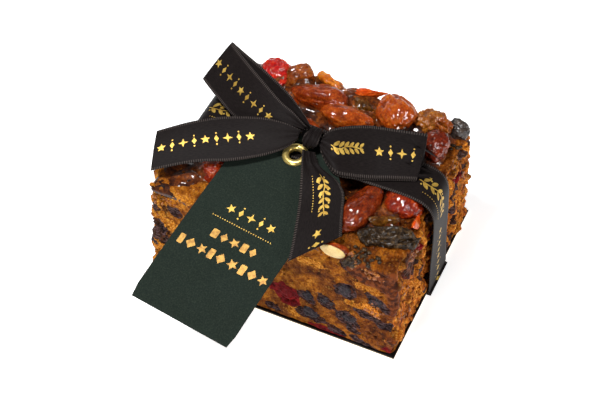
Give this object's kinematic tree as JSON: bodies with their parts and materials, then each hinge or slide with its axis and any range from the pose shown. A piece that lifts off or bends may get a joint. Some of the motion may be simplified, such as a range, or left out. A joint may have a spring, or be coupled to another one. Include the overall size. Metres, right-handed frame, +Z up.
{
  "type": "fruit cake",
  "caption": "Short block of rich fruit cake topped with glazed fruit and nuts, on a card base, tied with a satin ribbon bow and a gift tag.",
  "frame": {"origin": "on the resting plane, under the middle of the card base", "axes": "+X along the cut front face to the right, +Y to the back, +Z up"},
  "size_m": [0.1295, 0.1515, 0.0842],
  "materials": {
    "crumb": "moist golden brown crumb with a darker crust",
    "almond": "red-brown nut skin under clear glaze",
    "cherry": "glazed cherry red",
    "raisin": "dark wrinkled dried fruit",
    "peel": "candied orange peel",
    "date": "glazed orange-brown dried fruit",
    "nut_flesh": "cut pale nut flesh",
    "card_black": "black card",
    "satin": "black-brown satin ribbon with stitched edges",
    "tag_card": "uncoated dark green card",
    "brass": "polished brass and gold foil"
  },
  "bodies": {
    "root": {"almond_back": "almond", "almond_centre": "almond", "almond_cut": "nut_flesh", "almond_front": "almond", "almond_left": "almond", "almond_middle": "almond", "almond_under_tag": "almond", "cake_block": "crumb", "card_base": "card_black", "cherry_back_left": "cherry", "cherry_front_left": "cherry", "cherry_front_right": "cherry", "cherry_left": "cherry", "cherry_left_edge": "cherry", "cherry_middle": "cherry", "cherry_right": "cherry", "cherry_under_knot": "cherry", "cherry_under_tag": "cherry", "crumb_lump_back": "crumb", "date_back_right": "date", "date_front": "date", "date_left": "date", "face_cherry": "cherry", "face_raisin_1": "raisin", "face_raisin_2": "raisin", "face_raisin_3": "raisin", "face_raisin_4": "raisin", "face_raisin_5": "raisin", "face_raisin_6": "raisin", "face_raisin_left": "raisin", "gift_tag": "tag_card", "peel_back_brown": "peel", "peel_back_gold": "peel", "peel_back_sliver": "peel", "peel_corner": "crumb", "peel_left": "peel", "peel_olive": "peel", "peel_strip_right": "peel", "prune_back": "raisin", "raisin_burnt": "raisin", "raisin_centre": "raisin", "raisin_corner": "raisin", "raisin_front": "raisin", "raisin_front_left": "raisin", "raisin_right": "raisin", "ribbon_band": "satin", "ribbon_knot": "satin", "ribbon_loop_left": "satin", "ribbon_loop_right": "satin", "ribbon_tail_front": "satin", "ribbon_tail_left": "satin", "tag_eyelet": "brass"}
  },
  "joints": []
}
